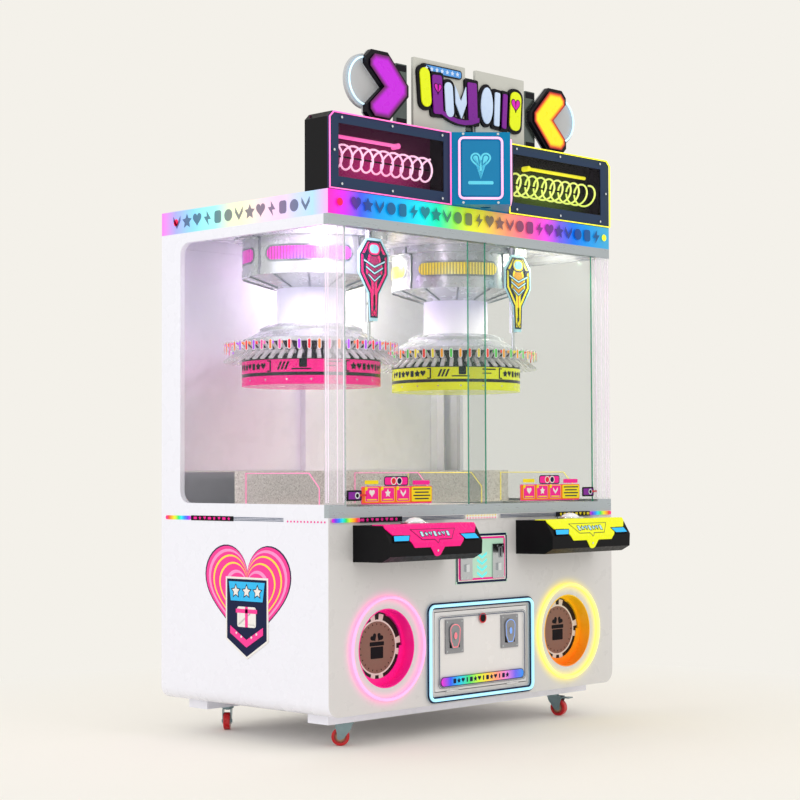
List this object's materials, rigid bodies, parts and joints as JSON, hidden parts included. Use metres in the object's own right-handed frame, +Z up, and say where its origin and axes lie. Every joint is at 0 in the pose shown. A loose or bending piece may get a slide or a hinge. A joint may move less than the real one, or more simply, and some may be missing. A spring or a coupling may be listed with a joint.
{
  "type": "clip prize machine",
  "caption": "Two-player prize machine: glazed cabinet on casters, turning carousels of clips, poker rods, consoles and prize outlets.",
  "frame": {"origin": "on the floor, under the centre of the machine's footprint", "axes": "+Z up, +X to the players' right, the players stand on the -Y side"},
  "size_m": [1.5, 1.052, 2.382],
  "materials": {
    "white_steel": "gloss powder coat",
    "frame_steel": "satin powder coat",
    "deck_grey": "fine sparkle coat",
    "clear_acrylic": "clear acrylic",
    "window_glass": "tempered glass with green edge",
    "rail_aluminium": "satin anodised",
    "rainbow_light": "translucent printed light box",
    "marquee_black": "gloss powder coat",
    "dark_window": "smoked acrylic",
    "neon_light": "silicone light tube",
    "sign_grey": "gloss printed panel",
    "emblem_magenta": "gloss acrylic",
    "turret_silver": "satin metallised",
    "column_lavender": "translucent acrylic",
    "drum_pink": "gloss printed wrap",
    "drum_yellow": "gloss printed wrap",
    "clip_clear": "clear polycarbonate",
    "motor_black": "satin",
    "gear_white": "natural acetal",
    "rod_steel": "polished",
    "console_black": "satin moulded shell",
    "console_trim": "gloss printed plate",
    "button_white": "translucent dome",
    "coin_print": "printed acrylic",
    "selector_chrome": "polished",
    "door_white": "gloss powder coat",
    "pewter": "satin cast plate",
    "lock_steel": "polished",
    "sleeve_pink": "gloss moulded ring",
    "flap_brown": "translucent printed disc",
    "chute_steel": "satin powder coat",
    "caster_steel": "blue zinc plate",
    "wheel_red": "polyurethane tread",
    "inlet_black": "moulded"
  },
  "bodies": {
    "cabinet": {"cabinet_frame": "frame_steel", "side_panels": "white_steel", "front_panel": "white_steel", "rear_panel": "white_steel", "roof_panel": "white_steel", "play_deck": "deck_grey", "guard_plates": "clear_acrylic", "window_tracks": "rail_aluminium", "corner_posts": "clear_acrylic", "side_glasses": "window_glass", "fascia_lightboxes": "rainbow_light", "marquee_boxes": "marquee_black", "marquee_windows": "dark_window", "neon_tubes": "neon_light", "sign_board": "sign_grey", "sign_emblems": "emblem_magenta", "turret_canopies": "turret_silver", "turret_columns": "column_lavender", "turret_skirts": "turret_silver", "drive_motors": "motor_black", "console_shells": "console_black", "console_faceplates": "console_trim", "outlet_sleeves": "sleeve_pink", "prize_chutes": "chute_steel", "poker_housings": "rod_steel", "poker_pendants": "emblem_magenta", "coin_plate": "coin_print", "coin_selectors": "selector_chrome", "caster_plates": "caster_steel", "power_inlet": "inlet_black"},
    "left_window": {"left_window": "window_glass"},
    "left_carousel": {"left_drum": "drum_pink", "left_clips": "clip_clear"},
    "left_pinion": {"left_pinion": "gear_white"},
    "left_front_clip": {"left_front_clip": "clip_clear"},
    "left_poker": {"left_poker": "rod_steel"},
    "left_button": {"left_button": "button_white"},
    "left_coin_lever": {"left_coin_lever": "selector_chrome"},
    "left_prize_flap": {"left_prize_flap": "flap_brown"},
    "right_window": {"right_window": "window_glass"},
    "right_carousel": {"right_drum": "drum_yellow", "right_clips": "clip_clear"},
    "right_pinion": {"right_pinion": "gear_white"},
    "right_front_clip": {"right_front_clip": "clip_clear"},
    "right_poker": {"right_poker": "rod_steel"},
    "right_button": {"right_button": "button_white"},
    "right_coin_lever": {"right_coin_lever": "selector_chrome"},
    "right_prize_flap": {"right_prize_flap": "flap_brown"},
    "service_door": {"service_door": "door_white", "coin_return_plates": "pewter"},
    "door_lock": {"door_lock": "lock_steel"},
    "front_left_fork": {"front_left_fork": "caster_steel"},
    "front_left_wheel": {"front_left_wheel": "wheel_red"},
    "front_right_fork": {"front_right_fork": "caster_steel"},
    "front_right_wheel": {"front_right_wheel": "wheel_red"},
    "front_right_brake_pedal": {"front_right_brake_pedal": "caster_steel"},
    "rear_left_fork": {"rear_left_fork": "caster_steel"},
    "rear_left_wheel": {"rear_left_wheel": "wheel_red"},
    "rear_right_fork": {"rear_right_fork": "caster_steel"},
    "rear_right_wheel": {"rear_right_wheel": "wheel_red"}
  },
  "joints": [
    {"name": "left_window_slide", "type": "slide", "parent": "cabinet", "child": "left_window", "axis": [1, 0, 0], "range_m": [0, 0.62]},
    {"name": "left_carousel_turn", "type": "hinge", "parent": "cabinet", "child": "left_carousel", "pos_m": [-0.385, 0.125, 1.3], "axis": [0, 0, 1], "continuous": true},
    {"name": "left_pinion_turn", "type": "hinge", "parent": "cabinet", "child": "left_pinion", "pos_m": [-0.385, 0.301, 1.33], "axis": [0, 0, 1], "continuous": true},
    {"name": "left_clip_press", "type": "hinge", "parent": "left_carousel", "child": "left_front_clip", "pos_m": [-0.385, -0.147, 1.3575], "axis": [1, 0, 0], "range_deg": [0, 27.5]},
    {"name": "left_poker_stroke", "type": "slide", "parent": "cabinet", "child": "left_poker", "axis": [0, 0, -1], "range_m": [0, 0.018], "stiffness_N_per_m": 400, "springref_m": -0.02},
    {"name": "left_button_push", "type": "slide", "parent": "cabinet", "child": "left_button", "axis": [0, 0, -1], "range_m": [0, 0.004], "stiffness_N_per_m": 800, "springref_m": -0.006},
    {"name": "left_coin_reject", "type": "slide", "parent": "cabinet", "child": "left_coin_lever", "axis": [0, 1, 0], "range_m": [0, 0.005], "stiffness_N_per_m": 300, "springref_m": -0.003},
    {"name": "left_flap_swing", "type": "hinge", "parent": "cabinet", "child": "left_prize_flap", "pos_m": [-0.48, -0.295, 0.436], "axis": [1, 0, 0], "range_deg": [0, 60]},
    {"name": "right_window_slide", "type": "slide", "parent": "cabinet", "child": "right_window", "axis": [-1, 0, 0], "range_m": [0, 0.62]},
    {"name": "right_carousel_turn", "type": "hinge", "parent": "cabinet", "child": "right_carousel", "pos_m": [0.385, 0.125, 1.3], "axis": [0, 0, 1], "continuous": true},
    {"name": "right_pinion_turn", "type": "hinge", "parent": "cabinet", "child": "right_pinion", "pos_m": [0.385, 0.301, 1.33], "axis": [0, 0, 1], "continuous": true},
    {"name": "right_clip_press", "type": "hinge", "parent": "right_carousel", "child": "right_front_clip", "pos_m": [0.385, -0.147, 1.3575], "axis": [1, 0, 0], "range_deg": [0, 27.5]},
    {"name": "right_poker_stroke", "type": "slide", "parent": "cabinet", "child": "right_poker", "axis": [0, 0, -1], "range_m": [0, 0.018], "stiffness_N_per_m": 400, "springref_m": -0.02},
    {"name": "right_button_push", "type": "slide", "parent": "cabinet", "child": "right_button", "axis": [0, 0, -1], "range_m": [0, 0.004], "stiffness_N_per_m": 800, "springref_m": -0.006},
    {"name": "right_coin_reject", "type": "slide", "parent": "cabinet", "child": "right_coin_lever", "axis": [0, 1, 0], "range_m": [0, 0.005], "stiffness_N_per_m": 300, "springref_m": -0.003},
    {"name": "right_flap_swing", "type": "hinge", "parent": "cabinet", "child": "right_prize_flap", "pos_m": [0.48, -0.295, 0.436], "axis": [1, 0, 0], "range_deg": [0, 60]},
    {"name": "door_drop", "type": "hinge", "parent": "cabinet", "child": "service_door", "pos_m": [0, -0.351, 0.1625], "axis": [1, 0, 0], "range_deg": [0, 90]},
    {"name": "lock_turn", "type": "hinge", "parent": "service_door", "child": "door_lock", "pos_m": [0, -0.348, 0.407], "axis": [0, -1, 0], "range_deg": [0, 90]},
    {"name": "front_left_swivel", "type": "hinge", "parent": "cabinet", "child": "front_left_fork", "pos_m": [-0.545, -0.223, 0.075], "axis": [0, 0, 1], "continuous": true},
    {"name": "front_left_roll", "type": "hinge", "parent": "front_left_fork", "child": "front_left_wheel", "pos_m": [-0.56167, -0.20574, 0.031], "axis": [0.7193, 0.6947, 0], "continuous": true},
    {"name": "front_right_swivel", "type": "hinge", "parent": "cabinet", "child": "front_right_fork", "pos_m": [0.545, -0.223, 0.075], "axis": [0, 0, 1], "continuous": true},
    {"name": "front_right_roll", "type": "hinge", "parent": "front_right_fork", "child": "front_right_wheel", "pos_m": [0.54958, -0.24656, 0.031], "axis": [-0.9816, -0.1908, 0], "continuous": true},
    {"name": "front_right_brake_press", "type": "hinge", "parent": "front_right_fork", "child": "front_right_brake_pedal", "pos_m": [0.55187, -0.25834, 0.068], "axis": [0.9816, 0.1908, 0], "range_deg": [0, 15]},
    {"name": "rear_left_swivel", "type": "hinge", "parent": "cabinet", "child": "rear_left_fork", "pos_m": [-0.545, 0.401, 0.075], "axis": [0, 0, 1], "continuous": true},
    {"name": "rear_left_roll", "type": "hinge", "parent": "rear_left_fork", "child": "rear_left_wheel", "pos_m": [-0.56226, 0.38433, 0.031], "axis": [-0.6947, 0.7193, 0], "continuous": true},
    {"name": "rear_right_swivel", "type": "hinge", "parent": "cabinet", "child": "rear_right_fork", "pos_m": [0.545, 0.401, 0.075], "axis": [0, 0, 1], "continuous": true},
    {"name": "rear_right_roll", "type": "hinge", "parent": "rear_right_fork", "child": "rear_right_wheel", "pos_m": [0.557, 0.42179, 0.031], "axis": [0.866, -0.5, 0], "continuous": true}
  ],
  "couplings": [
    {"joint": "left_pinion_turn", "follows": "left_carousel_turn", "ratio": 6.5},
    {"joint": "left_clip_press", "follows": "left_poker_stroke", "rad_per_m": 26.5},
    {"joint": "right_pinion_turn", "follows": "right_carousel_turn", "ratio": 6.5},
    {"joint": "right_clip_press", "follows": "right_poker_stroke", "rad_per_m": 26.5}
  ]
}
